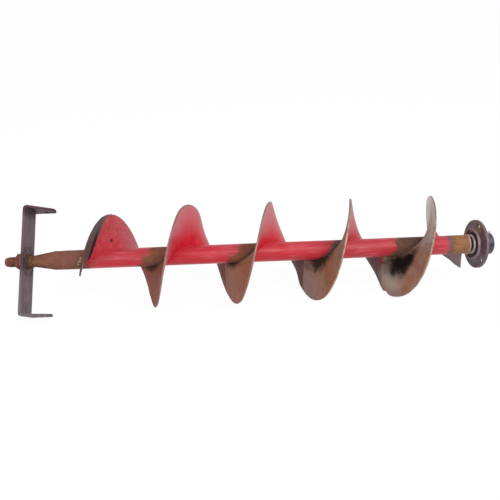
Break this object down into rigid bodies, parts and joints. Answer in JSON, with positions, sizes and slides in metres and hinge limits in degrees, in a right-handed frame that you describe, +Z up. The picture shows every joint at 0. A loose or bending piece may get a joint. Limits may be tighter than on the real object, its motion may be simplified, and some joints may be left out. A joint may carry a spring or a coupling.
{
  "type": "conveying auger",
  "caption": "Farm-machine conveying auger: painted tube with left-hand flighting, a tapered journal in a U-shaped hanger strap and a drive stub in a flanged ball bearing.",
  "frame": {"origin": "on the floor under the middle of the auger's length, midway across the flights", "axes": "+X along the auger's axis from the strap to the flanged bearing, +Z up"},
  "size_m": [1.218, 0.2538, 0.2536],
  "materials": {
    "worn_red_paint": "old red enamel, worn to bare and rusty steel",
    "rusty_steel": "rusted and oily",
    "dark_oily_steel": "dark, greasy and pitted",
    "bearing_steel": "ground, with light staining",
    "pressed_cage_steel": "pressed",
    "sintered_bronze": "oiled, dull",
    "seal_rubber": "matte",
    "zinc_plated_steel": "zinc plated"
  },
  "bodies": {
    "auger": {"auger_tube": "worn_red_paint", "flight_section_1": "worn_red_paint", "flight_section_2": "worn_red_paint", "flight_section_3": "worn_red_paint", "flight_section_4": "worn_red_paint", "flight_section_5": "worn_red_paint", "intake_stub_shaft": "rusty_steel", "drive_stub_shaft": "rusty_steel", "bearing_inner_ring": "bearing_steel", "locking_collar": "dark_oily_steel", "collar_set_screw": "dark_oily_steel", "shaft_nut": "rusty_steel", "thrust_washer": "rusty_steel"},
    "bearing_outer": {"bearing_outer_ring": "bearing_steel", "inner_seal": "seal_rubber", "outer_seal": "seal_rubber"},
    "ball_set": {"ball_cage": "pressed_cage_steel", "bearing_ball_1": "bearing_steel", "bearing_ball_2": "bearing_steel", "bearing_ball_3": "bearing_steel", "bearing_ball_4": "bearing_steel", "bearing_ball_5": "bearing_steel", "bearing_ball_6": "bearing_steel", "bearing_ball_7": "bearing_steel", "bearing_ball_8": "bearing_steel", "bearing_ball_9": "bearing_steel"},
    "flange_housing": {"inner_flange_half": "dark_oily_steel", "outer_flange_half": "dark_oily_steel", "grease_fitting": "zinc_plated_steel"},
    "hanger_bracket": {"hanger_strap": "dark_oily_steel", "bush_housing": "dark_oily_steel", "bronze_bush": "sintered_bronze"}
  },
  "joints": [
    {"name": "bearing_spin", "type": "hinge", "parent": "auger", "child": "bearing_outer", "pos_m": [0.574, 0, 0.12673], "axis": [1, 0, 0], "continuous": true},
    {"name": "ball_set_spin", "type": "hinge", "parent": "auger", "child": "ball_set", "pos_m": [0.574, 0, 0.12673], "axis": [1, 0, 0], "continuous": true},
    {"name": "flange_tilt", "type": "hinge", "parent": "bearing_outer", "child": "flange_housing", "pos_m": [0.574, 0, 0.12673], "axis": [0, 0, 1], "range_deg": [-3, 3]},
    {"name": "bracket_swing", "type": "hinge", "parent": "auger", "child": "hanger_bracket", "pos_m": [-0.5535, 0, 0.12673], "axis": [1, 0, 0], "continuous": true}
  ],
  "couplings": [
    {"joint": "ball_set_spin", "follows": "bearing_spin", "ratio": 0.59375}
  ]
}
